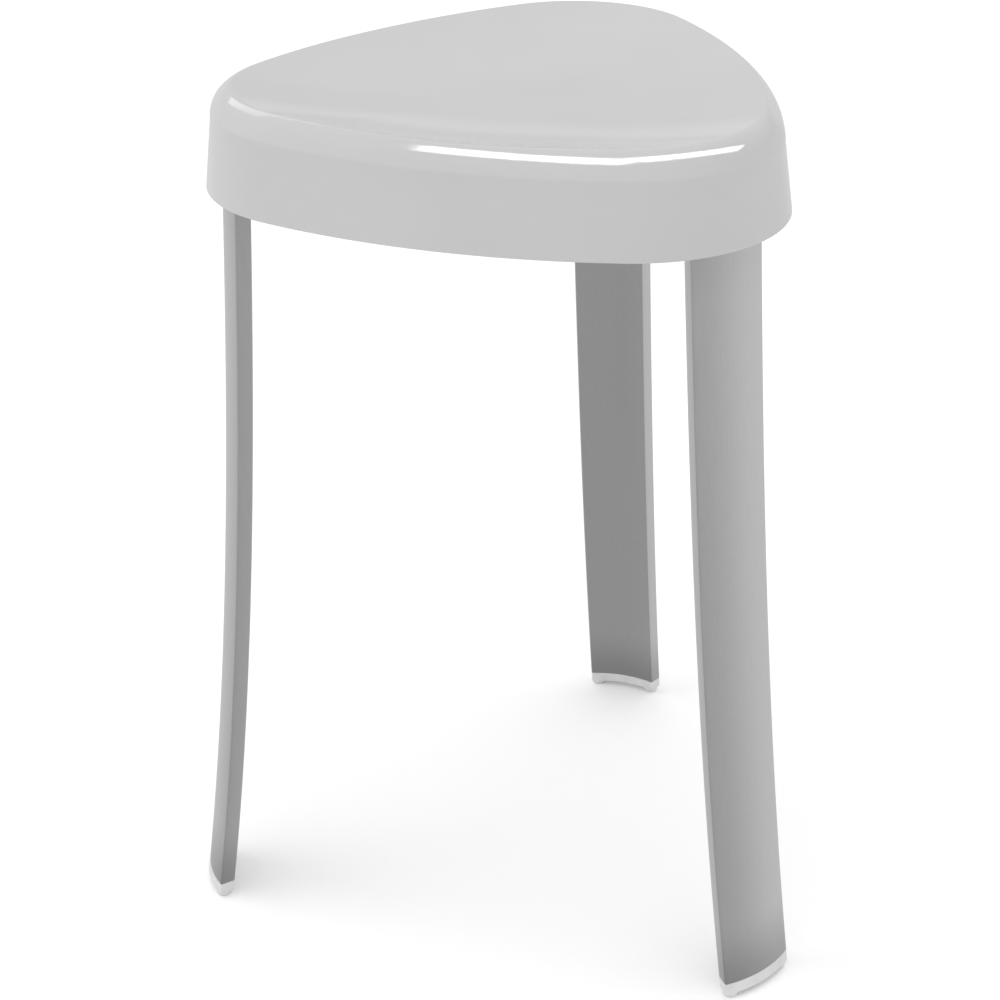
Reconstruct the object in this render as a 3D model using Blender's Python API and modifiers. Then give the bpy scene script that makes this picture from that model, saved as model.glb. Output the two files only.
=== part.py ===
"""Three-legged shower stool: a moulded triangular seat on three bent aluminium blade legs.

Metres, +Z up. The origin is on the floor, under the middle of the stool's bounding box, and
+Y points to the back leg. The stool's own axis stands a little in front of the origin.
"""
import math

import bmesh
import bpy
import numpy as np
from mathutils import Vector

# ---------------------------------------------------------------- driving dimensions (metres)
SEAT_RIM_HEIGHT = 0.418      # floor to the lower rim of the skirt
TOP_LEVEL = 0.4697           # floor to where the rounding and the bowl would both level out
CORNER_CENTRE = 0.0829       # stool axis to the centre of a seat corner's arc
CORNER_RADIUS = 0.0795       # radius of a seat corner in plan, at the rim
SIDE_RADIUS = 0.354          # radius of a seat side in plan, at the rim
SKIRT_DRAFT = 0.0045         # how far the skirt leans in between the rim and the rounding
ROUND_WIDTH = 0.0179         # the rounding between the skirt and the top, in plan
ROUND_HEIGHT = 0.0168        # and its height
ROUND_POWER = 2.17           # 2 would make it an ellipse; more makes it squarer
BOWL_DEPTH = 0.0161          # the hollow that the top is sat in, below the top level
BOWL_POWER = 2.31            # how the bowl steepens outwards
BOWL_SIDE_INSET = 0.0047     # outline to the edge of the bowl, at the middle of a side
BOWL_CORNER_INSET = 0.0112   # and at a corner
SHELL_WALL = 0.0028

RIB_WIDTH = 0.0024
SPOKE_FOOT = 0.4425          # lower edge of the ribs that cross the stool's axis
SIDE_RIB_FOOT = 0.4535       # lower edge of the ribs along the sides
SPOKE_REACH = 0.131          # stool axis to the ends of the ribs that cross it
HUB_RADIUS = 0.012

LEG_HEIGHTS = (0.0, 0.1, 0.2, 0.3, 0.42)
LEG_REACHES = (0.1933, 0.1799, 0.1688, 0.1615, 0.1541)   # stool axis to the leg's outer face
LEG_ARC_RADIUS = 0.0668      # radius of the outer face of the leg's section
LEG_HALF_ANGLE = math.radians(21.0)
LEG_THICKNESS = 0.0089
LEG_WALL = 0.0016
LEG_EDGE = 0.0008            # rounding of the section's four edges
LEG_TOP = 0.448

CAP_HEIGHT = 0.0098          # floor to the leg's lower end
NUB_HEIGHT = 0.0028
NUB_RADIUS = 0.0042
NUB_ROUND = 0.0014
TONGUE_TOP = 0.032
PLUG_FOOT = 0.402

GAP = 0.0003                 # clearance between two pieces that meet
SOCKET_WALL = 0.0018
SOCKET_FOOT = 0.4215
SOCKET_TOP = 0.4515
EAR_X = 0.138                # stool axis to the line of a socket's two screws
EAR_Y = 0.035                # half the distance between them
EAR_RADIUS = 0.005
EAR_FOOT = 0.4484
EAR_TOP = 0.4513
PLATE_X = 0.147              # the plate between the ears runs out over the leg to here
PLATE_Y = 0.022
BOSS_RADIUS = 0.0045
PILOT_TOP = 0.462

SHANK_RADIUS = 0.0018
HEAD_RADIUS = 0.0037
HEAD_HEIGHT = 0.0024
HEAD_ROUND = 0.0008
RECESS_RADIUS = 0.0016
RECESS_DEPTH = 0.0013
LEG_SCREW_HEIGHT = 0.434
LEG_SCREW_ANGLE = math.radians(10.0)
LEG_SCREW_LENGTH = 0.0085
LEG_SCREW_SEAT = 0.05515     # centre of the leg's arc to the underside of the screw's head
LEG_SCREW_PILOT = 0.0641     # centre of the leg's arc to the end of the screw's pilot hole
SOCKET_SCREW_LENGTH = 0.0125

CORNERS = {"back": 90, "front_left": 210, "front_right": 330}

# ---------------------------------------------------------------- worked-out dimensions
SIDE_SWING = SIDE_RADIUS - CORNER_RADIUS
SIDE_CENTRE = math.sqrt(SIDE_SWING ** 2 - 0.75 * CORNER_CENTRE ** 2) - CORNER_CENTRE / 2
SIDE_REACH = SIDE_RADIUS - SIDE_CENTRE
AXIS_Y = (SIDE_REACH - LEG_REACHES[0]) / 2       # puts the middle of the bounding box at y = 0
HALF_SIDE = math.asin(CORNER_CENTRE * math.sin(math.radians(60)) / SIDE_SWING)
HALF_CORNER = math.radians(60) - HALF_SIDE
SKIRT_TOP = TOP_LEVEL - ROUND_HEIGHT
LEG_LINE = np.polyfit(LEG_HEIGHTS, LEG_REACHES, 3)
INSIDE_LEG = -(LEG_WALL + GAP)                   # growth of a section that slides in the leg


# ---------------------------------------------------------------- scene, materials, objects
for old in list(bpy.data.objects):
    bpy.data.objects.remove(old, do_unlink=True)


def new_collection(name):
    collection = bpy.data.collections.new(name)
    bpy.context.scene.collection.children.link(collection)
    return collection


def material(name, colour, roughness, metallic=0.0):
    made = bpy.data.materials.new(name)
    made.use_nodes = True
    shader = made.node_tree.nodes["Principled BSDF"]
    shader.inputs["Base Color"].default_value = (*colour, 1.0)
    shader.inputs["Roughness"].default_value = roughness
    shader.inputs["Metallic"].default_value = metallic
    return made


STOOL = new_collection("shower_stool")
CUTTERS = new_collection("cutters")
WHITE_PLASTIC = material("white_plastic", (0.78, 0.78, 0.79), 0.22)
ALUMINIUM = material("aluminium", (0.60, 0.61, 0.62), 0.38, 1.0)
CAP_RUBBER = material("cap_rubber", (0.74, 0.74, 0.75), 0.5)
SOCKET_PLASTIC = material("socket_plastic", (0.55, 0.56, 0.58), 0.5)
PLUG_PLASTIC = material("plug_plastic", (0.22, 0.22, 0.23), 0.6)
STEEL = material("steel", (0.56, 0.56, 0.57), 0.3, 1.0)


def empty(name, parent=None, azimuth=0.0):
    made = bpy.data.objects.new(name, None)
    made.parent = parent
    made.rotation_euler.z = math.radians(azimuth)
    STOOL.objects.link(made)
    return made


def part(name, mesh, finish, parent):
    made = bpy.data.objects.new(name, mesh)
    made.parent = parent
    STOOL.objects.link(made)
    if not mesh.materials:
        mesh.materials.append(finish)
    return made


def cutter(name, mesh, parent=None, location=(0, 0, 0), rotation=(0, 0, 0)):
    """An object that only shapes others: a tool for their booleans, or a blank to be cut."""
    made = bpy.data.objects.new(name, mesh)
    made.parent = parent
    made.location = location
    made.rotation_euler = rotation
    made.hide_render = True
    made.display_type = "WIRE"
    CUTTERS.objects.link(made)
    return made


def boolean(target, operation, *tools):
    for tool in tools:
        modifier = target.modifiers.new(tool.name, "BOOLEAN")
        modifier.operation = operation
        modifier.solver = "EXACT"
        modifier.object = tool


def shade(mesh):
    mesh.shade_smooth()
    mesh.set_sharp_from_angle(angle=math.radians(35))
    return mesh


def baked(blank):
    """The blank's mesh with its modifiers applied. The blank and its tools are removed."""
    bpy.context.view_layer.update()
    mesh = bpy.data.meshes.new_from_object(blank.evaluated_get(bpy.context.evaluated_depsgraph_get()))
    mesh.name = blank.name
    for modifier in list(blank.modifiers):
        if modifier.type == "BOOLEAN" and modifier.object:
            bpy.data.objects.remove(modifier.object, do_unlink=True)
    bpy.data.objects.remove(blank, do_unlink=True)
    return shade(mesh)


# ---------------------------------------------------------------- basic shapes
def mesh_from(name, shape):
    mesh = bpy.data.meshes.new(name)
    shape.to_mesh(mesh)
    shape.free()
    return shade(mesh)


def loft(name, rings, open_foot=False, peak=None):
    """Skin rings of equal length, listed from the foot up, each anticlockwise from above.

    The last ring is closed with a flat face, or drawn together to a point, the peak.
    """
    shape = bmesh.new()
    loops = [[shape.verts.new(point) for point in ring] for ring in rings]
    count = len(rings[0])
    for lower, upper in zip(loops, loops[1:]):
        for i in range(count):
            j = (i + 1) % count
            shape.faces.new((lower[i], lower[j], upper[j], upper[i]))
    if not open_foot:
        shape.faces.new(loops[0][::-1])
    if peak:
        point = shape.verts.new(peak)
        for i in range(count):
            shape.faces.new((loops[-1][i], loops[-1][(i + 1) % count], point))
    else:
        shape.faces.new(loops[-1])
    return mesh_from(name, shape)


def cylinder(name, radius, low, high, segments=16):
    shape = bmesh.new()
    bmesh.ops.create_cone(shape, cap_ends=True, segments=segments, radius1=radius,
                          radius2=radius, depth=high - low)
    bmesh.ops.translate(shape, verts=shape.verts, vec=(0, 0, (low + high) / 2))
    return mesh_from(name, shape)


def box(name, low, high):
    shape = bmesh.new()
    bmesh.ops.create_cube(shape, size=1.0)
    size = Vector(high) - Vector(low)
    bmesh.ops.scale(shape, verts=shape.verts, vec=size)
    bmesh.ops.translate(shape, verts=shape.verts, vec=Vector(low) + size / 2)
    return mesh_from(name, shape)


def turned(name, profile, steps=16):
    """A blank that is a profile of (radius, height) points, listed downwards, turned about Z."""
    mesh = bpy.data.meshes.new(name)
    points = [(radius, 0.0, height) for radius, height in profile]
    mesh.from_pydata(points, [(i, i + 1) for i in range(len(points) - 1)], [])
    blank = cutter(name, mesh)
    screw = blank.modifiers.new("turn", "SCREW")
    screw.steps = steps
    screw.render_steps = steps
    screw.use_merge_vertices = True
    screw.merge_threshold = 0.00001
    return blank


def arc(centre, radius, start, end, steps):
    """Points along an arc, both ends included."""
    return [(centre[0] + radius * math.cos(angle), centre[1] + radius * math.sin(angle))
            for angle in np.linspace(start, end, steps + 1)]


def polar(radius, angle):
    return radius * math.cos(angle), radius * math.sin(angle)


def at_height(points, height, shift=0.0):
    return [(x + shift, y, height) for x, y in points]


# ---------------------------------------------------------------- seat
def outline_columns(corner_steps=12, side_steps=8):
    """Arc centre, outward direction and radius of each point of the seat's outline."""
    columns = []
    for azimuth in CORNERS.values():
        corner = math.radians(azimuth)
        side = corner + math.radians(60)
        for a in np.linspace(corner - HALF_CORNER, corner + HALF_CORNER, corner_steps + 1):
            columns.append((*polar(CORNER_CENTRE, corner), *polar(1.0, a), CORNER_RADIUS))
        for a in np.linspace(side - HALF_SIDE, side + HALF_SIDE, side_steps + 1)[1:-1]:
            columns.append((*polar(SIDE_CENTRE, side + math.pi), *polar(1.0, a), SIDE_RADIUS))
    return np.array(columns)


COLUMNS = outline_columns()


def on_outline(inset):
    """The outline moved in by inset, which may differ from column to column."""
    reach = COLUMNS[:, 4] - inset
    return COLUMNS[:, 0:2] + COLUMNS[:, 2:4] * reach[:, None]


def with_heights(points, heights):
    return [(x, y, float(z)) for (x, y), z in zip(points, np.broadcast_to(heights, len(points)))]


def edge_distance(azimuth, inset):
    """Stool axis to the outline moved in by inset, at each azimuth."""
    turn = np.abs((azimuth - math.pi / 6) % (2 * math.pi / 3) - math.pi / 3)
    corner_reach = CORNER_RADIUS - inset
    meeting = math.atan2(corner_reach * math.sin(HALF_CORNER),
                         CORNER_CENTRE + corner_reach * math.cos(HALF_CORNER))
    cornered = turn < meeting
    along = np.where(cornered, CORNER_CENTRE * np.cos(turn),
                     -SIDE_CENTRE * np.cos(math.pi / 3 - turn))
    centre = np.where(cornered, CORNER_CENTRE, SIDE_CENTRE)
    reach = np.where(cornered, corner_reach, SIDE_RADIUS - inset)
    return along + np.sqrt(along ** 2 - centre ** 2 + reach ** 2)


def rounding_height(inset, depth):
    """Height of the rounding between skirt and top, or of the same skin depth below it."""
    along = np.clip((inset - SKIRT_DRAFT - depth) / (ROUND_WIDTH - depth), 0, 1)
    curve = (1 - (1 - along) ** ROUND_POWER) ** (1 / ROUND_POWER)
    return SKIRT_TOP + (ROUND_HEIGHT - depth) * curve


def bowl_height(points, depth):
    """Height of the bowl, whose edge lies further in at the corners than along the sides."""
    azimuth = np.arctan2(points[:, 1], points[:, 0])
    cornered = (1 + np.cos(3 * (azimuth - math.pi / 2))) / 2
    edge = (edge_distance(azimuth, BOWL_SIDE_INSET) * (1 - cornered)
            + edge_distance(azimuth, BOWL_CORNER_INSET) * cornered)
    away = np.hypot(points[:, 0], points[:, 1]) / edge
    return TOP_LEVEL - BOWL_DEPTH * (1 - away ** BOWL_POWER) - depth


def crest_inset(depth):
    """Where the bowl meets the rounding in each column, by halving."""
    low = np.full(len(COLUMNS), SKIRT_DRAFT + depth)
    high = low + ROUND_WIDTH
    for _ in range(30):
        middle = (low + high) / 2
        outside = bowl_height(on_outline(middle), depth) > rounding_height(middle, depth)
        low = np.where(outside, middle, low)
        high = np.where(outside, high, middle)
    return low


def seat_skin(name, depth=0.0, open_foot=False):
    """The seat's outer skin from the rim to the middle of the bowl, or the skin depth below it."""
    rings = []
    for share in (0.0, 0.5):
        height = SEAT_RIM_HEIGHT + (SKIRT_TOP - SEAT_RIM_HEIGHT) * share
        rings.append(with_heights(on_outline(SKIRT_DRAFT * share + depth), height))
    start = SKIRT_DRAFT + depth
    crest = crest_inset(depth)
    for share in np.linspace(0, 1, 7):
        inset = start + (crest - start) * (1 - math.cos(share * math.pi / 2))
        rings.append(with_heights(on_outline(inset), rounding_height(inset, depth)))
    for inward in (0.06, 0.15, 0.28, 0.44, 0.62, 0.80):
        points = on_outline(crest) * (1 - inward)
        rings.append(with_heights(points, bowl_height(points, depth)))
    return loft(name, rings, open_foot, peak=(0, 0, TOP_LEVEL - BOWL_DEPTH - depth))


def seat_ribs(axis, corners):
    """Three ribs through the axis, three along the sides, and a boss for each socket screw."""
    hub = cutter("rib_hub", cylinder("rib_hub", HUB_RADIUS, SPOKE_FOOT, TOP_LEVEL), axis)
    spoke = box("spoke", (-SPOKE_REACH, -RIB_WIDTH / 2, SPOKE_FOOT),
                (SPOKE_REACH, RIB_WIDTH / 2, TOP_LEVEL))
    boss_angle = math.radians(60) - math.atan2(EAR_Y, EAR_X)
    across, along = polar(math.hypot(EAR_X, EAR_Y), boss_angle)
    chord = box("side_rib", (across - RIB_WIDTH / 2, -along, SIDE_RIB_FOOT),
                (across + RIB_WIDTH / 2, along, TOP_LEVEL))
    boss = cylinder("boss", BOSS_RADIUS, SOCKET_TOP + GAP, TOP_LEVEL)
    for name, corner in corners.items():
        turn = CORNERS[name] + 60
        boolean(hub, "UNION",
                cutter(f"spoke_{name}", spoke, corner),
                cutter(f"side_rib_{name}", chord, axis, rotation=(0, 0, math.radians(turn))),
                cutter(f"boss_{name}_1", boss, corner, (EAR_X, EAR_Y, 0)),
                cutter(f"boss_{name}_2", boss, corner, (EAR_X, -EAR_Y, 0)))
    inside = cutter("wall_middle", seat_skin("wall_middle", SHELL_WALL / 2), axis)
    boolean(hub, "INTERSECT", inside)
    return hub


def make_seat(axis, corners):
    seat = part("seat_shell", seat_skin("seat_shell", open_foot=True), WHITE_PLASTIC, axis)
    shell = seat.modifiers.new("wall", "SOLIDIFY")
    shell.thickness = SHELL_WALL
    shell.offset = -1.0
    shell.use_even_offset = True
    boolean(seat, "UNION", seat_ribs(axis, corners))
    pilot = cylinder("pilot", SHANK_RADIUS + GAP, SOCKET_TOP - 0.002, PILOT_TOP, 12)
    for name, corner in corners.items():
        boolean(seat, "DIFFERENCE",
                cutter(f"pilot_{name}_1", pilot, corner, (EAR_X, EAR_Y, 0)),
                cutter(f"pilot_{name}_2", pilot, corner, (EAR_X, -EAR_Y, 0)))


# ---------------------------------------------------------------- legs
def leg_reach(height):
    return float(np.polyval(LEG_LINE, height))


def leg_section(growth, edge):
    """The leg's arc-shaped section about the centre of its arc, grown outward by growth."""
    outer = LEG_ARC_RADIUS + growth
    inner = LEG_ARC_RADIUS - LEG_THICKNESS - growth
    outer_turn = LEG_HALF_ANGLE - math.asin((edge - growth) / (outer - edge))
    inner_turn = LEG_HALF_ANGLE - math.asin((edge - growth) / (inner + edge))
    end = LEG_HALF_ANGLE + math.pi / 2
    points = arc((0, 0), outer, -outer_turn, outer_turn, 8)[1:-1]
    points += arc(polar(outer - edge, outer_turn), edge, outer_turn, end, 2)
    points += arc(polar(inner + edge, inner_turn), edge, end, inner_turn + math.pi, 2)
    points += arc((0, 0), inner, inner_turn, -inner_turn, 8)[1:-1]
    points += arc(polar(inner + edge, -inner_turn), edge, math.pi - inner_turn,
                  2 * math.pi - end, 2)
    points += arc(polar(outer - edge, -outer_turn), edge, 2 * math.pi - end,
                  2 * math.pi - outer_turn, 2)
    return points


def leg_loft(name, growth, heights, edge=LEG_EDGE):
    """A solid that follows the leg's line, with level sections at the given heights."""
    section = leg_section(growth, edge)
    return loft(name, [at_height(section, height, leg_reach(height) - LEG_ARC_RADIUS)
                       for height in heights])


def leg_screw_places():
    """Location and rotation of the two leg screws' axes, which start at the arc's centre."""
    centre = (leg_reach(LEG_SCREW_HEIGHT) - LEG_ARC_RADIUS, 0, LEG_SCREW_HEIGHT)
    return [(centre, (0, math.pi / 2, turn)) for turn in (LEG_SCREW_ANGLE, -LEG_SCREW_ANGLE)]


def leg_screw_holes():
    hole = cylinder("screw_hole", SHANK_RADIUS + GAP, LEG_SCREW_SEAT - 0.004, LEG_SCREW_PILOT, 12)
    return [cutter("screw_hole", hole, None, *where) for where in leg_screw_places()]


def leg_mesh():
    heights = list(np.linspace(CAP_HEIGHT, LEG_TOP, 12))
    leg = cutter("leg", leg_loft("leg", 0.0, heights))
    through = [heights[0] - 0.01] + heights + [heights[-1] + 0.01]
    bore = cutter("bore", leg_loft("bore", -LEG_WALL, through, LEG_EDGE / 2))
    boolean(leg, "DIFFERENCE", bore, *leg_screw_holes())
    return baked(leg)


def plug_mesh():
    heights = np.linspace(PLUG_FOOT, LEG_TOP - GAP, 3)
    plug = cutter("leg_plug", leg_loft("leg_plug", INSIDE_LEG, heights))
    boolean(plug, "DIFFERENCE", *leg_screw_holes())
    return baked(plug)


def cap_mesh():
    """A foot cap with a tongue that grips inside the leg and two nubs to stand on."""
    cap = cutter("foot_cap", leg_loft("foot_cap", 0.0, (NUB_HEIGHT, CAP_HEIGHT - GAP)))
    heights = np.linspace(CAP_HEIGHT - 0.002, TONGUE_TOP, 3)
    tongue = cutter("tongue", leg_loft("tongue", INSIDE_LEG, heights))
    foot_round = arc((NUB_RADIUS - NUB_ROUND, NUB_ROUND), NUB_ROUND, 0, -math.pi / 2, 3)
    top = NUB_HEIGHT + 0.002
    profile = [(0, top), (NUB_RADIUS, top), *foot_round, (0, 0)]
    middle = LEG_ARC_RADIUS - LEG_THICKNESS / 2
    turn = LEG_HALF_ANGLE - math.asin(LEG_THICKNESS / 2 / middle)
    centre = leg_reach(NUB_HEIGHT) - LEG_ARC_RADIUS
    nubs = []
    for side in (turn, -turn):
        nub = cutter("nub", baked(turned("nub", profile)))
        x, y = polar(middle, side)
        nub.location = (centre + x, y, 0)
        nubs.append(nub)
    boolean(cap, "UNION", tongue, *nubs)
    return baked(cap)


# ---------------------------------------------------------------- sockets and screws
def socket_mesh():
    """A cup around the leg's top end, and a plate with two ears that screws to the seat."""
    heights = np.linspace(SOCKET_FOOT, SOCKET_TOP, 3)
    socket = cutter("leg_socket", leg_loft("leg_socket", GAP + SOCKET_WALL, heights, 0.0028))
    outline = [(PLATE_X, -PLATE_Y), (PLATE_X, PLATE_Y)]
    outline += arc((EAR_X, EAR_Y), EAR_RADIUS, math.radians(50), math.pi, 6)
    outline += arc((EAR_X, -EAR_Y), EAR_RADIUS, math.pi, math.radians(310), 6)
    plate = cutter("plate", loft("plate", [at_height(outline, EAR_FOOT),
                                           at_height(outline, EAR_TOP)]))
    pocket_heights = np.linspace(SOCKET_FOOT - 0.005, LEG_TOP + GAP, 3)
    pocket = cutter("pocket", leg_loft("pocket", GAP, pocket_heights, LEG_EDGE + GAP))
    hole = cylinder("ear_hole", SHANK_RADIUS + GAP, EAR_FOOT - 0.002, EAR_TOP + 0.002, 12)
    ear_holes = [cutter("ear_hole", hole, None, (EAR_X, y, 0)) for y in (EAR_Y, -EAR_Y)]
    boolean(socket, "UNION", plate)
    boolean(socket, "DIFFERENCE", pocket, *ear_holes, *leg_screw_holes())
    return baked(socket)


def screw_mesh(name, length):
    """A pan-head screw with a hexagon recess. Its head sits below z = 0 and its tip is up."""
    profile = [(0, length), (SHANK_RADIUS * 0.6, length), (SHANK_RADIUS, length - 0.001),
               (SHANK_RADIUS, 0), (HEAD_RADIUS, 0)]
    profile += arc((HEAD_RADIUS - HEAD_ROUND, HEAD_ROUND - HEAD_HEIGHT), HEAD_ROUND,
                   0, -math.pi / 2, 2)
    profile.append((0, -HEAD_HEIGHT))
    screw = turned(name, profile, steps=14)
    recess = cylinder("recess", RECESS_RADIUS, -HEAD_HEIGHT - 0.001, RECESS_DEPTH - HEAD_HEIGHT, 6)
    boolean(screw, "DIFFERENCE", cutter("recess", recess))
    return baked(screw)


# ---------------------------------------------------------------- assembly
def make_corner(name, corner, shared):
    part(f"leg_{name}", shared["leg"], ALUMINIUM, corner)
    part(f"leg_plug_{name}", shared["plug"], PLUG_PLASTIC, corner)
    part(f"leg_socket_{name}", shared["socket"], SOCKET_PLASTIC, corner)
    part(f"foot_cap_{name}", shared["cap"], CAP_RUBBER, corner)
    for number, (centre, rotation) in enumerate(leg_screw_places(), start=1):
        screw = part(f"leg_screw_{name}_{number}", shared["leg_screw"], STEEL, corner)
        x, y = polar(LEG_SCREW_SEAT, rotation[2])
        screw.location = (centre[0] + x, y, centre[2])
        screw.rotation_euler = rotation
    for number, y in enumerate((EAR_Y, -EAR_Y), start=1):
        screw = part(f"socket_screw_{name}_{number}", shared["socket_screw"], STEEL, corner)
        screw.location = (EAR_X, y, EAR_FOOT - GAP)


def main():
    axis = empty("stool_axis")
    axis.location.y = AXIS_Y
    corners = {name: empty(f"corner_{name}", axis, azimuth) for name, azimuth in CORNERS.items()}
    make_seat(axis, corners)
    shared = {"leg": leg_mesh(), "plug": plug_mesh(), "cap": cap_mesh(), "socket": socket_mesh(),
              "leg_screw": screw_mesh("leg_screw", LEG_SCREW_LENGTH),
              "socket_screw": screw_mesh("socket_screw", SOCKET_SCREW_LENGTH)}
    for name, corner in corners.items():
        make_corner(name, corner, shared)
    bpy.context.view_layer.update()


main()
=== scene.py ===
import math

import bmesh
import bpy
import numpy as np
from mathutils import Matrix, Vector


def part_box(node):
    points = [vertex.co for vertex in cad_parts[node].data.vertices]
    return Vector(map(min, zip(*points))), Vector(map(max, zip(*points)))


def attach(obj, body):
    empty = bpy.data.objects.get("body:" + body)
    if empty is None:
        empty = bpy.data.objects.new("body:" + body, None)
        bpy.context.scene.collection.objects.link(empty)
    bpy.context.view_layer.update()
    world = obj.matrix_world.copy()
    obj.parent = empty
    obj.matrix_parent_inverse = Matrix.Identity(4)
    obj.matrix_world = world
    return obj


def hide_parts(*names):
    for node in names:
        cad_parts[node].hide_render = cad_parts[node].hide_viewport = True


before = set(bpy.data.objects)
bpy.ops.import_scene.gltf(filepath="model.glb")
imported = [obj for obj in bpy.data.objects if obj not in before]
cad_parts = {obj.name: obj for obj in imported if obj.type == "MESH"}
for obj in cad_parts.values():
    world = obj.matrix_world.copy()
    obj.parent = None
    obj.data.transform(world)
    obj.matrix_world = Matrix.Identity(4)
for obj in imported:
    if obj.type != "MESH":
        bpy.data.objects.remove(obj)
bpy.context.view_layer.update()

# The looks of a three-legged shower stool: a moulded triangular seat on bent aluminium blades.
# Metres, +Z up, +Y to the back leg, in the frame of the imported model.

# ---------------------------------------------------------------- sizes that the frame gives
SEAT_LOW, SEAT_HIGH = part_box("seat_shell")
LEG_LOW, LEG_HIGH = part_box("leg_back")
CAP_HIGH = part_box("foot_cap_back")[1]
SOCKET_LOW, SOCKET_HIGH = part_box("leg_socket_back")
PLUG_LOW, PLUG_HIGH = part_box("leg_plug_back")

SEAT_RIM_HEIGHT = SEAT_LOW.z
TOP_LEVEL = 0.4697               # where the rounding and the bowl would both level out
CORNER_CENTRE = 0.0829           # stool axis to the centre of a seat corner's arc
CORNER_RADIUS = 0.0795
SIDE_RADIUS = 0.354
AXIS_Y = SEAT_HIGH.y - CORNER_CENTRE - CORNER_RADIUS
SIDE_SWING = SIDE_RADIUS - CORNER_RADIUS
SIDE_CENTRE = math.sqrt(SIDE_SWING ** 2 - 0.75 * CORNER_CENTRE ** 2) - CORNER_CENTRE / 2
HALF_SIDE = math.asin(CORNER_CENTRE * math.sin(math.radians(60)) / SIDE_SWING)
HALF_CORNER = math.radians(60) - HALF_SIDE
CORNERS = {"back": 90, "front_left": 210, "front_right": 330}

# ---------------------------------------------------------------- seat
SKIRT_DRAFT = 0.0045
ROUND_WIDTH = 0.0179             # the rounding above the skirt, in plan
ROUND_HEIGHT = 0.0168
ROUND_POWER = 2.17               # 2 would make it an ellipse; more makes it squarer
SKIRT_TOP = TOP_LEVEL - ROUND_HEIGHT
SHELL_WALL = 0.0028
LIP_RADIUS = 0.0011              # rounding of the rim's two edges
BOWL_DEPTH = 0.0161
BOWL_POWER = 2.31
BOWL_SIDE_INSET = 0.0047         # outline to the edge of the bowl, at the middle of a side
BOWL_CORNER_INSET = 0.0112       # and at a corner
CREASE_BLEND = 0.0004            # rounding of the edge between the bowl and the rounding
CORNER_BLEND = 0.0012            # and how it widens to a corner
BLEND_BY_DEPTH = 0.3             # added to it for each unit of depth below the skin
CREASE_RINGS = (0.0032, 0.0021, 0.0013, 0.0008, 0.0004, 0.0002, 0.0)   # distances from the crease
CREASE_SEARCH = 0.060            # the crease is never further in than this
MIDDLE_SHARE = 0.97              # how far in the last ring lies, before the middle point
RIB_WIDTH = 0.0024
SPOKE_FOOT = 0.4425
SIDE_RIB_FOOT = 0.4535
RIB_EDGE = 0.0005
SPOKE_REACH = 0.131
HUB_RADIUS = 0.012

# ---------------------------------------------------------------- legs, caps, sockets, screws
LEG_HEIGHTS = (0.0, 0.1, 0.2, 0.3, 0.42)
LEG_REACHES = (0.1933, 0.1799, 0.1688, 0.1615, 0.1541)
LEG_LINE = np.polyfit(LEG_HEIGHTS, LEG_REACHES, 3)
LEG_ARC_RADIUS = 0.0668
LEG_HALF_ANGLE = math.radians(21.0)
LEG_THICKNESS = 0.0089
LEG_WALL = 0.0016
LEG_EDGE = 0.0008
GAP = 0.0003
INSIDE_LEG = -(LEG_WALL + GAP)

NUB_HEIGHT = 0.0028
NUB_RADIUS = 0.0042
NUB_ROUND = 0.0014
NUB_RECESS = 0.00035             # the shallow dimple under each nub
CAP_ROUND = 0.0007               # rounding of the cap's lower edge
CAP_RINGS = (0.0055, 0.0075)     # heights of the rings up the cap's side
CAP_EDGE = 0.0002                # bevel of the cap's upper edge

SOCKET_WALL = 0.0018
SOCKET_ROUND = 0.0006
SOCKET_EDGE = 0.0028             # rounding of the socket's upright edges
SOCKET_RING = 0.426              # height of the first ring above its rounded foot
EAR_X = 0.138
EAR_Y = 0.035
EAR_RADIUS = 0.005
EAR_FOOT = 0.4484
EAR_TOP = 0.4513
PLATE_X = 0.147
PLATE_Y = 0.022
BOSS_RADIUS = 0.0045
PILOT_TOP = 0.462

SHANK_RADIUS = 0.0018
HEAD_RADIUS = 0.0037
HEAD_HEIGHT = 0.0024
HEAD_ROUND = 0.0008
RECESS_RADIUS = 0.0016
RECESS_DEPTH = 0.0013
LEG_SCREW_HEIGHT = 0.434
LEG_SCREW_ANGLE = math.radians(10.0)
LEG_SCREW_LENGTH = 0.0085
LEG_SCREW_SEAT = 0.05515
LEG_SCREW_PILOT = 0.0641
SOCKET_SCREW_LENGTH = 0.0125


# ---------------------------------------------------------------- mesh helpers
def shaded(mesh, angle=32.0):
    mesh.shade_smooth()
    mesh.set_sharp_from_angle(angle=math.radians(angle))
    return mesh


def mesh_from(name, shape):
    bmesh.ops.recalc_face_normals(shape, faces=shape.faces)
    mesh = bpy.data.meshes.new(name)
    shape.to_mesh(mesh)
    shape.free()
    return shaded(mesh)


def skinned(name, rings, start=None, end=None, joined=False):
    """Skin rings of equal length. The ends are drawn to a point, closed flat, or joined up."""
    shape = bmesh.new()
    loops = [[shape.verts.new(point) for point in ring] for ring in rings]
    count = len(rings[0])
    pairs = list(zip(loops, loops[1:]))
    if joined:
        pairs.append((loops[-1], loops[0]))
    for lower, upper in pairs:
        for i in range(count):
            j = (i + 1) % count
            shape.faces.new((lower[i], lower[j], upper[j], upper[i]))
    if not joined:
        for loop, tip in ((loops[0], start), (loops[-1], end)):
            if tip is None:
                shape.faces.new(loop)
            else:
                point = shape.verts.new(tip)
                for i in range(count):
                    shape.faces.new((loop[i], loop[(i + 1) % count], point))
    return mesh_from(name, shape)


def thing(name, mesh, place=None):
    made = bpy.data.objects.new(name, mesh)
    bpy.context.scene.collection.objects.link(made)
    made.matrix_world = place or Matrix.Identity(4)
    return made


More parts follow.
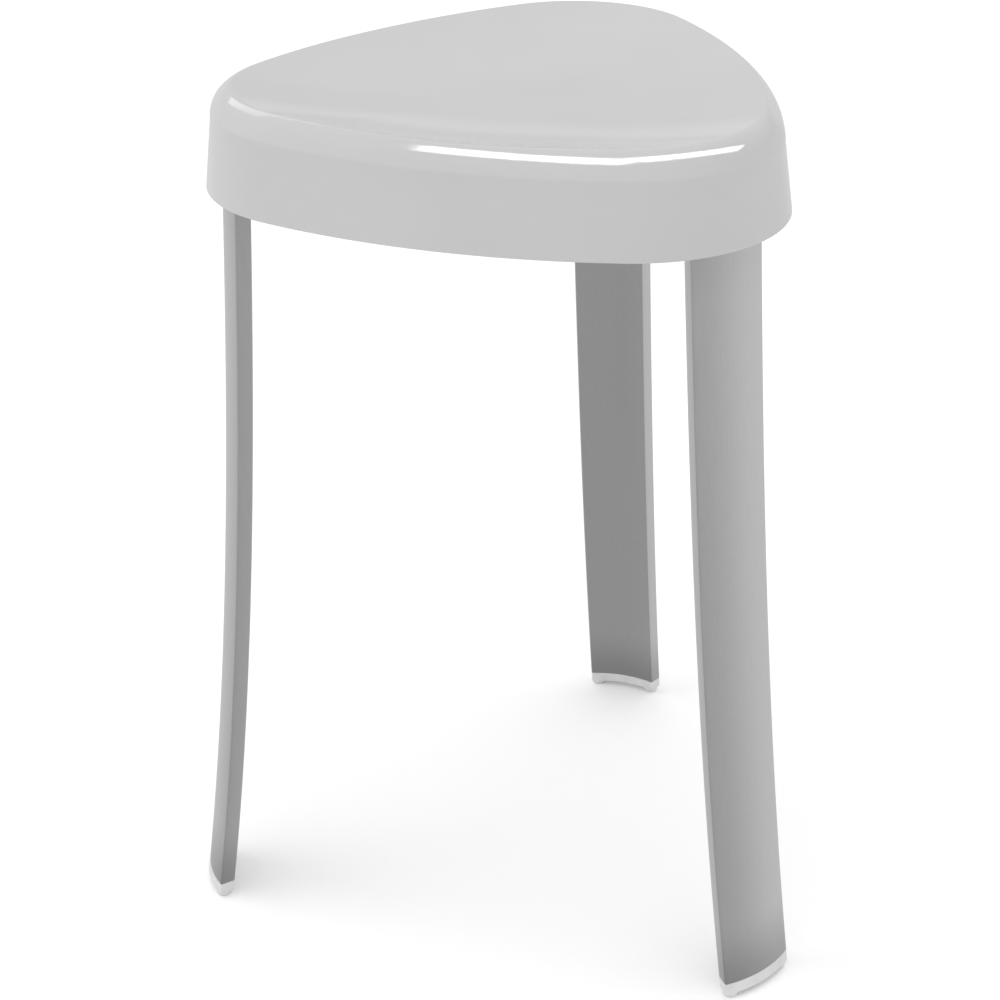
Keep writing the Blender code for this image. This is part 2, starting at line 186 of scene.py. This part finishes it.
def cut_and_joined(name, base, *steps):
    """The base mesh after (operation, mesh, place) boolean steps, in order."""
    blank = thing(name, base)
    tools = []
    for operation, mesh, place in steps:
        tool = thing("tool", mesh, place)
        modifier = blank.modifiers.new("step", "BOOLEAN")
        modifier.operation = operation
        modifier.solver = "EXACT"
        modifier.object = tool
        tools.append(tool)
    bpy.context.view_layer.update()
    mesh = bpy.data.meshes.new_from_object(
        blank.evaluated_get(bpy.context.evaluated_depsgraph_get()))
    mesh.name = name
    for used in [blank, *tools]:
        bpy.data.objects.remove(used, do_unlink=True)
    return shaded(mesh)


def cylinder(name, radius, low, high, segments=32):
    shape = bmesh.new()
    bmesh.ops.create_cone(shape, cap_ends=True, segments=segments, radius1=radius,
                          radius2=radius, depth=high - low)
    bmesh.ops.translate(shape, verts=shape.verts, vec=(0, 0, (low + high) / 2))
    return mesh_from(name, shape)


def rounded_bar(name, low, high, edge):
    """A box whose four lower edges are rounded."""
    shape = bmesh.new()
    bmesh.ops.create_cube(shape, size=1.0)
    low, high = np.array(low), np.array(high)
    bmesh.ops.scale(shape, verts=shape.verts, vec=high - low)
    bmesh.ops.translate(shape, verts=shape.verts, vec=(low + high) / 2)
    foot = [e for e in shape.edges if all(v.co.z < low[2] + 1e-6 for v in e.verts)]
    bmesh.ops.bevel(shape, geom=foot, offset=edge, segments=3, profile=0.5, affect="EDGES")
    return mesh_from(name, shape)


def turned(name, profile, steps=40):
    """A profile of (radius, height) points turned about Z. Both its ends lie on the axis."""
    angles = np.linspace(0, 2 * math.pi, steps, endpoint=False)
    rings = [[(radius * math.cos(a), radius * math.sin(a), height) for a in angles]
             for radius, height in profile[1:-1]]
    return skinned(name, rings, (0, 0, profile[0][1]), (0, 0, profile[-1][1]))


def arc(centre, radius, start, end, steps):
    return [(centre[0] + radius * math.cos(angle), centre[1] + radius * math.sin(angle))
            for angle in np.linspace(start, end, steps + 1)]


def polar(radius, angle):
    return radius * math.cos(angle), radius * math.sin(angle)


def at_height(points, height, shift=0.0):
    return [(x + shift, y, height) for x, y in points]


def corner_place(name, x=0.0, y=0.0, z=0.0):
    """A place given in a corner's own frame: x runs out from the stool's axis."""
    turn = Matrix.Rotation(math.radians(CORNERS[name]), 4, "Z")
    return Matrix.Translation((0, AXIS_Y, 0)) @ turn @ Matrix.Translation((x, y, z))


# ---------------------------------------------------------------- seat
def outline_columns(corner_steps=34, side_steps=48):
    """Arc centre, outward direction and radius of each point of the seat's outline."""
    columns = []
    for azimuth in CORNERS.values():
        corner = math.radians(azimuth)
        side = corner + math.radians(60)
        for a in np.linspace(corner - HALF_CORNER, corner + HALF_CORNER, corner_steps + 1):
            columns.append((*polar(CORNER_CENTRE, corner), *polar(1.0, a), CORNER_RADIUS))
        for a in np.linspace(side - HALF_SIDE, side + HALF_SIDE, side_steps + 1)[1:-1]:
            columns.append((*polar(SIDE_CENTRE, side + math.pi), *polar(1.0, a), SIDE_RADIUS))
    return np.array(columns)


COLUMNS = outline_columns()


def on_outline(inset):
    """Points of the outline moved in by inset, which may differ from column to column."""
    reach = COLUMNS[:, 4] - inset
    return COLUMNS[:, 0:2] + COLUMNS[:, 2:4] * reach[:, None]


def edge_distance(azimuth, inset):
    """Stool axis to the outline moved in by inset, at each azimuth."""
    turn = np.abs((azimuth - math.pi / 6) % (2 * math.pi / 3) - math.pi / 3)
    corner_reach = CORNER_RADIUS - inset
    meeting = math.atan2(corner_reach * math.sin(HALF_CORNER),
                         CORNER_CENTRE + corner_reach * math.cos(HALF_CORNER))
    cornered = turn < meeting
    along = np.where(cornered, CORNER_CENTRE * np.cos(turn),
                     -SIDE_CENTRE * np.cos(math.pi / 3 - turn))
    centre = np.where(cornered, CORNER_CENTRE, SIDE_CENTRE)
    reach = np.where(cornered, corner_reach, SIDE_RADIUS - inset)
    return along + np.sqrt(along ** 2 - centre ** 2 + reach ** 2)


def towards_corner(points):
    """1 in the direction of a corner, 0 in that of the middle of a side."""
    azimuth = np.arctan2(points[:, 1], points[:, 0])
    return (1 + np.cos(3 * (azimuth - math.pi / 2))) / 2


def rounding_height(inset, depth):
    """Height of the rounding between skirt and top, or of the same skin depth below it."""
    along = np.clip((inset - SKIRT_DRAFT - depth) / (ROUND_WIDTH - depth), 0, 1)
    curve = (1 - (1 - along) ** ROUND_POWER) ** (1 / ROUND_POWER)
    return SKIRT_TOP + (ROUND_HEIGHT - depth) * curve


def bowl_height(points, depth):
    azimuth = np.arctan2(points[:, 1], points[:, 0])
    cornered = towards_corner(points)
    edge = (edge_distance(azimuth, BOWL_SIDE_INSET) * (1 - cornered)
            + edge_distance(azimuth, BOWL_CORNER_INSET) * cornered)
    away = np.hypot(points[:, 0], points[:, 1]) / edge
    return TOP_LEVEL - BOWL_DEPTH * (1 - away ** BOWL_POWER) - depth


def crease_inset(depth):
    """Where the bowl cuts the rounding, in each column, by halving."""
    low = np.full(len(COLUMNS), SKIRT_DRAFT + depth)
    high = np.full(len(COLUMNS), CREASE_SEARCH)
    for _ in range(40):
        middle = (low + high) / 2
        above = bowl_height(on_outline(middle), depth) > rounding_height(middle, depth)
        low = np.where(above, middle, low)
        high = np.where(above, high, middle)
    return low


def top_ring(points, inset, depth):
    """A ring on the lower of the rounding and the bowl, blended where they cross."""
    blend = CREASE_BLEND + (CORNER_BLEND - CREASE_BLEND) * towards_corner(points) ** 2
    blend += depth * BLEND_BY_DEPTH
    edge, bowl = rounding_height(inset, depth), bowl_height(points, depth)
    share = np.clip(0.5 + (bowl - edge) / (2 * blend), 0, 1)
    height = bowl + (edge - bowl) * share - blend * share * (1 - share)
    return np.column_stack([points, height])


def seat_skin(depth, skirt_from, fine):
    """Rings from the skirt's foot up to the middle of the bowl, for the skin at this depth."""
    rings = []
    for share in np.linspace(0, 1, 5)[:-1]:
        height = skirt_from + (SKIRT_TOP - skirt_from) * share
        draft = SKIRT_DRAFT * (height - SEAT_RIM_HEIGHT) / (SKIRT_TOP - SEAT_RIM_HEIGHT)
        rings.append(np.column_stack([on_outline(draft + depth), np.full(len(COLUMNS), height)]))
    crease = crease_inset(depth)
    near = CREASE_RINGS
    start = SKIRT_DRAFT + depth
    for share in np.linspace(0, 1, 15 if fine else 7)[:-1]:
        inset = start + (crease - near[0] - start) * (1 - np.cos(share * math.pi / 2))
        rings.append(top_ring(on_outline(inset), inset, depth))
    for distance in near if fine else near[::3]:
        inset = crease - distance
        rings.append(top_ring(on_outline(inset), inset, depth))
    for distance in near[::-1][1:] if fine else near[::-3][1:]:
        inset = crease + distance
        rings.append(top_ring(on_outline(inset), inset, depth))
    last_inset = crease + near[0]
    last = on_outline(last_inset)
    for share in np.linspace(0, MIDDLE_SHARE, 26 if fine else 12)[1:]:
        points = last * (1 - share)
        inset = last_inset + share * np.hypot(last[:, 0], last[:, 1])
        rings.append(top_ring(points, inset, depth))
    return rings


def rim_rings():
    """The lip between the inner and the outer skin, rounded at both its edges."""
    rings = []
    for side, span in ((SHELL_WALL - LIP_RADIUS, (math.pi / 2, 0)),
                       (LIP_RADIUS, (0, -math.pi / 2))):
        for angle in np.linspace(*span, 5):
            inset = side + LIP_RADIUS * math.sin(angle)
            height = SEAT_RIM_HEIGHT + LIP_RADIUS * (1 - math.cos(angle))
            rings.append(np.column_stack([on_outline(inset), np.full(len(COLUMNS), height)]))
    return rings


def seat_mesh():
    outer = seat_skin(0.0, SEAT_RIM_HEIGHT + LIP_RADIUS, True)
    inner = seat_skin(SHELL_WALL, SEAT_RIM_HEIGHT + LIP_RADIUS, False)
    rings = inner[::-1] + rim_rings()[1:-1] + outer[1:]
    rings = [[tuple(point) for point in ring] for ring in rings]
    middle = TOP_LEVEL - BOWL_DEPTH
    shell = skinned("seat_moulding", rings, (0, 0, middle - SHELL_WALL), (0, 0, middle))
    halfway = [[tuple(point) for point in ring]
               for ring in seat_skin(SHELL_WALL / 2, SEAT_RIM_HEIGHT, False)]
    inside = skinned("inside", halfway, (0, 0, SEAT_RIM_HEIGHT), (0, 0, middle - SHELL_WALL / 2))
    spoke = rounded_bar("spoke", (-SPOKE_REACH, -RIB_WIDTH / 2, SPOKE_FOOT),
                        (SPOKE_REACH, RIB_WIDTH / 2, TOP_LEVEL), RIB_EDGE)
    boss_angle = math.radians(60) - math.atan2(EAR_Y, EAR_X)
    across, along = polar(math.hypot(EAR_X, EAR_Y), boss_angle)
    chord = rounded_bar("side_rib", (across - RIB_WIDTH / 2, -along, SIDE_RIB_FOOT),
                        (across + RIB_WIDTH / 2, along, TOP_LEVEL), RIB_EDGE)
    boss = cylinder("boss", BOSS_RADIUS, EAR_TOP + 2 * GAP, TOP_LEVEL)
    hub = cylinder("hub", HUB_RADIUS, SPOKE_FOOT, TOP_LEVEL, 48)
    ribs = []
    pilots = []
    pilot = cylinder("pilot", SHANK_RADIUS + GAP, EAR_TOP - 0.002, PILOT_TOP, 24)
    for azimuth in CORNERS.values():
        corner = Matrix.Rotation(math.radians(azimuth), 4, "Z")
        side = Matrix.Rotation(math.radians(azimuth + 60), 4, "Z")
        ribs += [("UNION", spoke, corner), ("UNION", chord, side)]
        for y in (EAR_Y, -EAR_Y):
            place = corner @ Matrix.Translation((EAR_X, y, 0))
            ribs.append(("UNION", boss, place))
            pilots.append(("DIFFERENCE", pilot, place))
    grid = cut_and_joined("ribs", hub, *ribs, ("INTERSECT", inside, None))
    return cut_and_joined("seat_moulding", shell, ("UNION", grid, None), *pilots)


# ---------------------------------------------------------------- legs
def leg_reach(height):
    return float(np.polyval(LEG_LINE, height))


def leg_section(growth, edge, face_steps=28, edge_steps=6):
    outer = LEG_ARC_RADIUS + growth
    inner = LEG_ARC_RADIUS - LEG_THICKNESS - growth
    outer_turn = LEG_HALF_ANGLE - math.asin((edge - growth) / (outer - edge))
    inner_turn = LEG_HALF_ANGLE - math.asin((edge - growth) / (inner + edge))
    end = LEG_HALF_ANGLE + math.pi / 2
    points = arc((0, 0), outer, -outer_turn, outer_turn, face_steps)[1:-1]
    points += arc(polar(outer - edge, outer_turn), edge, outer_turn, end, edge_steps)
    points += arc(polar(inner + edge, inner_turn), edge, end, inner_turn + math.pi, edge_steps)
    points += arc((0, 0), inner, inner_turn, -inner_turn, face_steps)[1:-1]
    points += arc(polar(inner + edge, -inner_turn), edge, math.pi - inner_turn,
                  2 * math.pi - end, edge_steps)
    points += arc(polar(outer - edge, -outer_turn), edge, 2 * math.pi - end,
                  2 * math.pi - outer_turn, edge_steps)
    return points


def leg_ring(growth, edge, height):
    return at_height(leg_section(growth, edge), height, leg_reach(height) - LEG_ARC_RADIUS)


def leg_loft(name, growth, heights, edge=LEG_EDGE):
    return skinned(name, [leg_ring(growth, edge, height) for height in heights])


def leg_screw_places():
    """The two leg screws' axes in a corner's frame, from the centre of the leg's arc."""
    arc_centre = leg_reach(LEG_SCREW_HEIGHT) - LEG_ARC_RADIUS
    centre = Matrix.Translation((arc_centre, 0, LEG_SCREW_HEIGHT))
    return [centre @ Matrix.Rotation(turn, 4, "Z") @ Matrix.Rotation(math.pi / 2, 4, "Y")
            for turn in (LEG_SCREW_ANGLE, -LEG_SCREW_ANGLE)]


def leg_screw_holes():
    hole = cylinder("hole", SHANK_RADIUS + GAP, LEG_SCREW_SEAT - 0.004, LEG_SCREW_PILOT, 24)
    return [("DIFFERENCE", hole, place) for place in leg_screw_places()]


def leg_mesh():
    """A hollow extrusion, bent along its length, with its saw-cut ends open."""
    heights = list(np.linspace(LEG_LOW.z, LEG_HIGH.z, 64))
    rings = [leg_ring(0.0, LEG_EDGE, height) for height in heights]
    rings += [leg_ring(-LEG_WALL, LEG_EDGE / 2, height) for height in heights[::-1]]
    return cut_and_joined("leg_blade", skinned("leg_blade", rings, joined=True),
                          *leg_screw_holes())


def plug_mesh():
    heights = np.linspace(PLUG_LOW.z, PLUG_HIGH.z, 9)
    return cut_and_joined("leg_insert", leg_loft("leg_insert", INSIDE_LEG, heights),
                          *leg_screw_holes())


def cap_mesh():
    top = LEG_LOW.z - GAP
    rings = []
    for angle in np.linspace(0, math.pi / 2, 6):
        shrink = -CAP_ROUND * (1 - math.sin(angle))
        height = NUB_HEIGHT + CAP_ROUND * (1 - math.cos(angle))
        rings.append(leg_ring(shrink, LEG_EDGE, height))
    rings += [leg_ring(0.0, LEG_EDGE, height) for height in (*CAP_RINGS, top - CAP_EDGE)]
    rings.append(leg_ring(-CAP_EDGE, LEG_EDGE, top))
    body = skinned("foot_cap", rings)
    heights = np.linspace(LEG_LOW.z - 0.002, CAP_HIGH.z, 8)
    tongue = leg_loft("tongue", INSIDE_LEG, heights)
    foot = arc((NUB_RADIUS - NUB_ROUND, NUB_ROUND), NUB_ROUND, 0, -math.pi / 2, 6)
    ring = NUB_RADIUS - NUB_ROUND
    profile = [(0, NUB_HEIGHT + 0.002), (NUB_RADIUS, NUB_HEIGHT + 0.002), *foot,
               (ring * 0.82, 0.0), (ring * 0.74, NUB_RECESS), (0, NUB_RECESS)]
    nub = turned("nub", profile)
    middle = LEG_ARC_RADIUS - LEG_THICKNESS / 2
    turn = LEG_HALF_ANGLE - math.asin(LEG_THICKNESS / 2 / middle)
    centre = leg_reach(NUB_HEIGHT) - LEG_ARC_RADIUS
    steps = [("UNION", tongue, None)]
    for side in (turn, -turn):
        x, y = polar(middle, side)
        steps.append(("UNION", nub, Matrix.Translation((centre + x, y, 0))))
    return cut_and_joined("foot_cap", body, *steps)


# ---------------------------------------------------------------- sockets and screws
def socket_mesh():
    wall = GAP + SOCKET_WALL
    rings = []
    for angle in np.linspace(0, math.pi / 2, 5):
        shrink = SOCKET_ROUND * (1 - math.sin(angle))
        height = SOCKET_LOW.z + SOCKET_ROUND * (1 - math.cos(angle))
        rings.append(leg_ring(wall - shrink, SOCKET_EDGE, height))
    rings += [leg_ring(wall, SOCKET_EDGE, height)
              for height in np.linspace(SOCKET_RING, SOCKET_HIGH.z, 5)]
    cup = skinned("leg_socket", rings)
    outline = [(PLATE_X, -PLATE_Y), (PLATE_X, PLATE_Y)]
    outline += arc((EAR_X, EAR_Y), EAR_RADIUS, math.radians(50), math.pi, 16)
    outline += arc((EAR_X, -EAR_Y), EAR_RADIUS, math.pi, math.radians(310), 16)
    plate = skinned("plate", [at_height(outline, EAR_FOOT), at_height(outline, EAR_TOP)])
    pocket = leg_loft("pocket", GAP, np.linspace(SOCKET_LOW.z - 0.005, LEG_HIGH.z + GAP, 7),
                      LEG_EDGE + GAP)
    hole = cylinder("ear_hole", SHANK_RADIUS + GAP, EAR_FOOT - 0.002, EAR_TOP + 0.002, 24)
    holes = [("DIFFERENCE", hole, Matrix.Translation((EAR_X, y, 0))) for y in (EAR_Y, -EAR_Y)]
    return cut_and_joined("leg_socket", cup, ("UNION", plate, None), ("DIFFERENCE", pocket, None),
                          *holes, *leg_screw_holes())


def screw_mesh(name, length):
    profile = [(0, length), (SHANK_RADIUS * 0.6, length), (SHANK_RADIUS, length - 0.001),
               (SHANK_RADIUS, 0), (HEAD_RADIUS, 0)]
    profile += arc((HEAD_RADIUS - HEAD_ROUND, HEAD_ROUND - HEAD_HEIGHT), HEAD_ROUND,
                   0, -math.pi / 2, 6)
    profile.append((0, -HEAD_HEIGHT))
    recess = cylinder("recess", RECESS_RADIUS, -HEAD_HEIGHT - 0.001, RECESS_DEPTH - HEAD_HEIGHT, 6)
    return cut_and_joined(name, turned(name, profile), ("DIFFERENCE", recess, None))


# ---------------------------------------------------------------- materials
class Finish:
    """A material built from nodes around one Principled BSDF, with textures in object space."""

    def __init__(self, name, roughness, metallic=0.0, **sockets):
        self.material = bpy.data.materials.new(name)
        self.material.use_nodes = True
        self.tree = self.material.node_tree
        self.shader = self.tree.nodes["Principled BSDF"]
        self.set("Roughness", roughness)
        self.set("Metallic", metallic)
        for socket, value in sockets.items():
            self.set(socket.replace("_", " "), value)
        self.space = self.tree.nodes.new("ShaderNodeTexCoord").outputs["Object"]
        self.bumps = None

    def set(self, socket, value):
        self.shader.inputs[socket].default_value = value

    def noise(self, scale, detail=3.0, stretch=(1, 1, 1)):
        """Noise with scale cells per metre, drawn out along an axis where stretch is small."""
        mapping = self.tree.nodes.new("ShaderNodeMapping")
        mapping.inputs["Scale"].default_value = [scale * s for s in stretch]
        self.tree.links.new(self.space, mapping.inputs["Vector"])
        texture = self.tree.nodes.new("ShaderNodeTexNoise")
        texture.inputs["Scale"].default_value = 1.0
        texture.inputs["Detail"].default_value = detail
        self.tree.links.new(mapping.outputs["Vector"], texture.inputs["Vector"])
        return texture.outputs["Fac"]

    def colours(self, source, low, high):
        ramp = self.tree.nodes.new("ShaderNodeValToRGB")
        ramp.color_ramp.elements[0].position = 0.3
        ramp.color_ramp.elements[0].color = (*low, 1)
        ramp.color_ramp.elements[1].position = 0.7
        ramp.color_ramp.elements[1].color = (*high, 1)
        self.tree.links.new(source, ramp.inputs["Fac"])
        self.tree.links.new(ramp.outputs["Color"], self.shader.inputs["Base Color"])

    def paint_shade_downwards(self, top, foot, share):
        """Painted shade: multiply the colour by share at height foot, rising to 1 at height top.
        """
        split = self.tree.nodes.new("ShaderNodeSeparateXYZ")
        self.tree.links.new(self.space, split.inputs["Vector"])
        fade = self.tree.nodes.new("ShaderNodeMapRange")
        fade.interpolation_type = "SMOOTHSTEP"
        fade.inputs["From Min"].default_value = foot
        fade.inputs["From Max"].default_value = top
        fade.inputs["To Min"].default_value = share
        self.tree.links.new(split.outputs["Z"], fade.inputs["Value"])
        shade = self.tree.nodes.new("ShaderNodeVectorMath")
        shade.operation = "SCALE"
        self.tree.links.new(self.shader.inputs["Base Color"].links[0].from_socket,
                            shade.inputs[0])
        self.tree.links.new(fade.outputs["Result"], shade.inputs["Scale"])
        self.tree.links.new(shade.outputs["Vector"], self.shader.inputs["Base Color"])

    def roughness(self, source, low, high):
        spread = self.tree.nodes.new("ShaderNodeMapRange")
        spread.inputs["From Min"].default_value = 0.3
        spread.inputs["From Max"].default_value = 0.7
        spread.inputs["To Min"].default_value = low
        spread.inputs["To Max"].default_value = high
        self.tree.links.new(source, spread.inputs["Value"])
        self.tree.links.new(spread.outputs["Result"], self.shader.inputs["Roughness"])

    def bump(self, source, height):
        """Relief of this height in metres, laid over any relief already there."""
        node = self.tree.nodes.new("ShaderNodeBump")
        node.inputs["Strength"].default_value = 1.0
        node.inputs["Distance"].default_value = height
        self.tree.links.new(source, node.inputs["Height"])
        if self.bumps:
            self.tree.links.new(self.bumps, node.inputs["Normal"])
        self.bumps = node.outputs["Normal"]
        self.tree.links.new(self.bumps, self.shader.inputs["Normal"])


def white_plastic():
    finish = Finish("white_plastic_gloss", 0.08, IOR=1.49)
    finish.colours(finish.noise(14, 4.0), (0.500, 0.500, 0.502), (0.516, 0.516, 0.518))
    finish.roughness(finish.noise(60, 4.0), 0.06, 0.11)
    finish.bump(finish.noise(45, 2.0), 0.00001)
    finish.bump(finish.noise(1400, 2.0), 0.0000025)
    return finish.material


def aluminium():
    finish = Finish("aluminium_satin", 0.36, 1.0)
    along = (1, 1, 0.02)
    finish.colours(finish.noise(1500, 3.0, along), (0.615, 0.615, 0.618), (0.640, 0.640, 0.643))
    # painted shade: the blade's colour falls to 0.70 over its lowest 48 mm, standing in for the
    # shade where it meets its cap and the floor
    finish.paint_shade_downwards(0.048, 0.006, 0.70)
    finish.roughness(finish.noise(900, 4.0, along), 0.34, 0.39)
    finish.bump(finish.noise(2600, 3.0, along), 0.0000012)
    finish.bump(finish.noise(4000, 2.0), 0.0000015)
    return finish.material


def cap_rubber():
    finish = Finish("cap_rubber_pale", 0.6)
    finish.colours(finish.noise(120, 4.0), (0.60, 0.60, 0.605), (0.66, 0.66, 0.665))
    finish.roughness(finish.noise(400, 3.0), 0.5, 0.7)
    finish.bump(finish.noise(3500, 3.0), 0.00002)
    return finish.material


def socket_plastic():
    finish = Finish("socket_plastic_grey", 0.45)
    finish.colours(finish.noise(90, 4.0), (0.50, 0.51, 0.53), (0.56, 0.57, 0.585))
    finish.roughness(finish.noise(300, 3.0), 0.38, 0.52)
    finish.bump(finish.noise(2500, 3.0), 0.000015)
    return finish.material


def plug_plastic():
    finish = Finish("plug_plastic_dark", 0.55)
    finish.colours(finish.noise(120, 4.0), (0.19, 0.19, 0.20), (0.25, 0.25, 0.26))
    finish.roughness(finish.noise(300, 3.0), 0.5, 0.65)
    finish.bump(finish.noise(2500, 3.0), 0.00002)
    return finish.material


def screw_steel():
    finish = Finish("screw_steel_stainless", 0.3, 1.0)
    finish.colours(finish.noise(700, 4.0), (0.52, 0.52, 0.53), (0.60, 0.60, 0.605))
    finish.roughness(finish.noise(900, 3.0), 0.22, 0.36)
    finish.bump(finish.noise(5000, 2.0), 0.000006)
    return finish.material


# ---------------------------------------------------------------- assembly
def piece(name, mesh, finish, slot, place, *nodes):
    """A piece of its own, with its place in its mesh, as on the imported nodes."""
    mesh = mesh.copy()
    mesh.transform(place)
    mesh.materials.clear()
    mesh.materials.append(finish)
    made = thing(name, mesh)
    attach(made, "root")
    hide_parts(*nodes)
    return made


def build_stool():
    axis = Matrix.Translation((0, AXIS_Y, 0))
    metal, steel = aluminium(), screw_steel()
    rubber, grey, dark = cap_rubber(), socket_plastic(), plug_plastic()
    piece("seat_moulding", seat_mesh(), white_plastic(), "white_plastic", axis, "seat_shell")
    leg, plug, socket, cap = leg_mesh(), plug_mesh(), socket_mesh(), cap_mesh()
    leg_screw = screw_mesh("leg_screw", LEG_SCREW_LENGTH)
    socket_screw = screw_mesh("socket_screw", SOCKET_SCREW_LENGTH)
    for name in CORNERS:
        corner = corner_place(name)
        piece(f"blade_{name}", leg, metal, "aluminium", corner, f"leg_{name}")
        piece(f"insert_{name}", plug, dark, "plug_plastic", corner, f"leg_plug_{name}")
        piece(f"socket_{name}", socket, grey, "socket_plastic", corner, f"leg_socket_{name}")
        piece(f"cap_{name}", cap, rubber, "cap_rubber", corner, f"foot_cap_{name}")
        for number, place in enumerate(leg_screw_places(), start=1):
            where = corner @ place @ Matrix.Translation((0, 0, LEG_SCREW_SEAT))
            piece(f"screw_leg_{name}_{number}", leg_screw, steel, "steel", where,
                  f"leg_screw_{name}_{number}")
        for number, y in enumerate((EAR_Y, -EAR_Y), start=1):
            where = corner_place(name, EAR_X, y, EAR_FOOT - GAP)
            piece(f"screw_socket_{name}_{number}", socket_screw, steel, "steel", where,
                  f"socket_screw_{name}_{number}")


# ---------------------------------------------------------------- camera, floor and light
CAMERA_DISTANCE = 1.1587         # stool axis to the camera, in plan
CAMERA_AZIMUTH = math.radians(19.76)
CAMERA_HEIGHT = 0.7989
AIM_AZIMUTH = math.radians(17.83)
AIM_DOWN = math.radians(27.86)
LENS = 83.48
SENSOR_WIDTH = 36.0
SHIFT = (-0.0978, 0.0621)
FLOOR_SIZE = 12.0
# brightness of the surround: below the horizon by the direction's y, above it by its z
SURROUND_BELOW = ((-1.0, 0.40), (-0.34, 0.43), (-0.17, 0.49),
                  (0.0, 0.56), (0.24, 0.68), (0.5, 0.76))
SURROUND_BEHIND = ((0.0, 0.80), (0.12, 0.82), (0.20, 0.72),
                   (0.32, 0.77), (0.45, 0.92), (1.0, 1.25))
SURROUND_IN_FRONT = 1.06
# lamps: start, height, across, along, width, depth, turn, brightness, as overhead_lamp takes them
KEY_LAMPS = {
    "key_front": ((0.0, -0.120), 1.6, -0.12, -0.44, 0.70, 0.50, -12, 13),
    "key_right": ((0.09, -0.130), 1.6, 0.63, 0.26, 1.48, 0.38, 48, 13),
    "key_left": ((-0.11, -0.095), 0.8, -1.28, 1.10, 1.70, 0.70, -46, 1.4)}
FILL_LAMP = ((0, 0), 4.5, -1.2, -0.4, 1.1, 1.1, 0, 1.6)


def make_camera():
    data = bpy.data.cameras.new("camera")
    data.sensor_width = SENSOR_WIDTH
    data.lens = LENS
    data.shift_x, data.shift_y = SHIFT
    camera = bpy.data.objects.new("camera", data)
    bpy.context.scene.collection.objects.link(camera)
    camera.location = (CAMERA_DISTANCE * math.sin(CAMERA_AZIMUTH),
                       AXIS_Y - CAMERA_DISTANCE * math.cos(CAMERA_AZIMUTH), CAMERA_HEIGHT)
    camera.rotation_euler = (math.pi / 2 - AIM_DOWN, 0, AIM_AZIMUTH)
    bpy.context.scene.camera = camera


def make_floor():
    shape = bmesh.new()
    bmesh.ops.create_grid(shape, x_segments=1, y_segments=1, size=FLOOR_SIZE / 2)
    floor = thing("floor", mesh_from("floor", shape))
    finish = Finish("floor_pale", 0.9)
    finish.colours(finish.noise(2, 2.0), (0.95, 0.95, 0.95), (0.97, 0.97, 0.97))
    floor.data.materials.append(finish.material)
    floor.visible_glossy = False


def grey(level):
    return level, level, level, 1


def brightness_ramp(tree, source, low, stops):
    """A grey ramp over a direction component that runs from low to 1."""
    spread = tree.nodes.new("ShaderNodeMapRange")
    spread.inputs["From Min"].default_value = low
    tree.links.new(source, spread.inputs["Value"])
    ramp = tree.nodes.new("ShaderNodeValToRGB")
    elements = ramp.color_ramp.elements
    while len(elements) < len(stops):
        elements.new(1.0)
    for element, (place, level) in zip(elements, stops):
        element.position = (place - low) / (1 - low)
        element.color = grey(level)
    tree.links.new(spread.outputs["Result"], ramp.inputs["Fac"])
    return ramp.outputs["Color"]


def brightness_mix(tree, source, start, end, first, second):
    """The first brightness below start, and the second above end."""
    spread = tree.nodes.new("ShaderNodeMapRange")
    spread.inputs["From Min"].default_value = start
    spread.inputs["From Max"].default_value = end
    tree.links.new(source, spread.inputs["Value"])
    mix = tree.nodes.new("ShaderNodeMixRGB")
    tree.links.new(spread.outputs["Result"], mix.inputs["Fac"])
    for socket, colour in (("Color1", first), ("Color2", second)):
        if isinstance(colour, tuple):
            mix.inputs[socket].default_value = colour
        else:
            tree.links.new(colour, mix.inputs[socket])
    return mix.outputs["Color"]


def make_world():
    """A soft grey surround, dimmer below the horizon, most of all in front, and graded behind."""
    world = bpy.data.worlds.new("studio")
    world.use_nodes = True
    tree = world.node_tree
    split = tree.nodes.new("ShaderNodeSeparateXYZ")
    tree.links.new(tree.nodes.new("ShaderNodeTexCoord").outputs["Generated"],
                   split.inputs["Vector"])
    y, z = split.outputs["Y"], split.outputs["Z"]
    below = brightness_ramp(tree, y, -1.0, SURROUND_BELOW)
    behind = brightness_ramp(tree, z, 0.0, SURROUND_BEHIND)
    above = brightness_mix(tree, y, -0.1, 0.2, grey(SURROUND_IN_FRONT), behind)
    colour = brightness_mix(tree, z, -0.10, 0.02, below, above)
    tree.links.new(colour, tree.nodes["Background"].inputs["Color"])
    bpy.context.scene.world = world


def overhead_lamp(name, start, height, across, along, width, depth, turn, brightness):
    """A level rectangular lamp above a point of the rim.

    Its middle, width and depth are given as slopes from that point, so per metre of height.
    """
    data = bpy.data.lights.new(name, "AREA")
    data.shape = "RECTANGLE"
    data.size = width * height
    data.size_y = depth * height
    data.energy = brightness * math.pi * data.size * data.size_y
    lamp = bpy.data.objects.new(name, data)
    bpy.context.scene.collection.objects.link(lamp)
    lamp.location = (start[0] + across * height, start[1] + along * height, TOP_LEVEL + height)
    lamp.rotation_euler.z = math.radians(turn)
    return lamp


def make_studio():
    make_camera()
    make_floor()
    make_world()
    for name, setting in KEY_LAMPS.items():
        overhead_lamp(name, *setting).visible_diffuse = False
    fill = overhead_lamp("fill", *FILL_LAMP)
    fill.visible_glossy = False
    bpy.context.scene.view_settings.view_transform = "Standard"


build_stool()
make_studio()
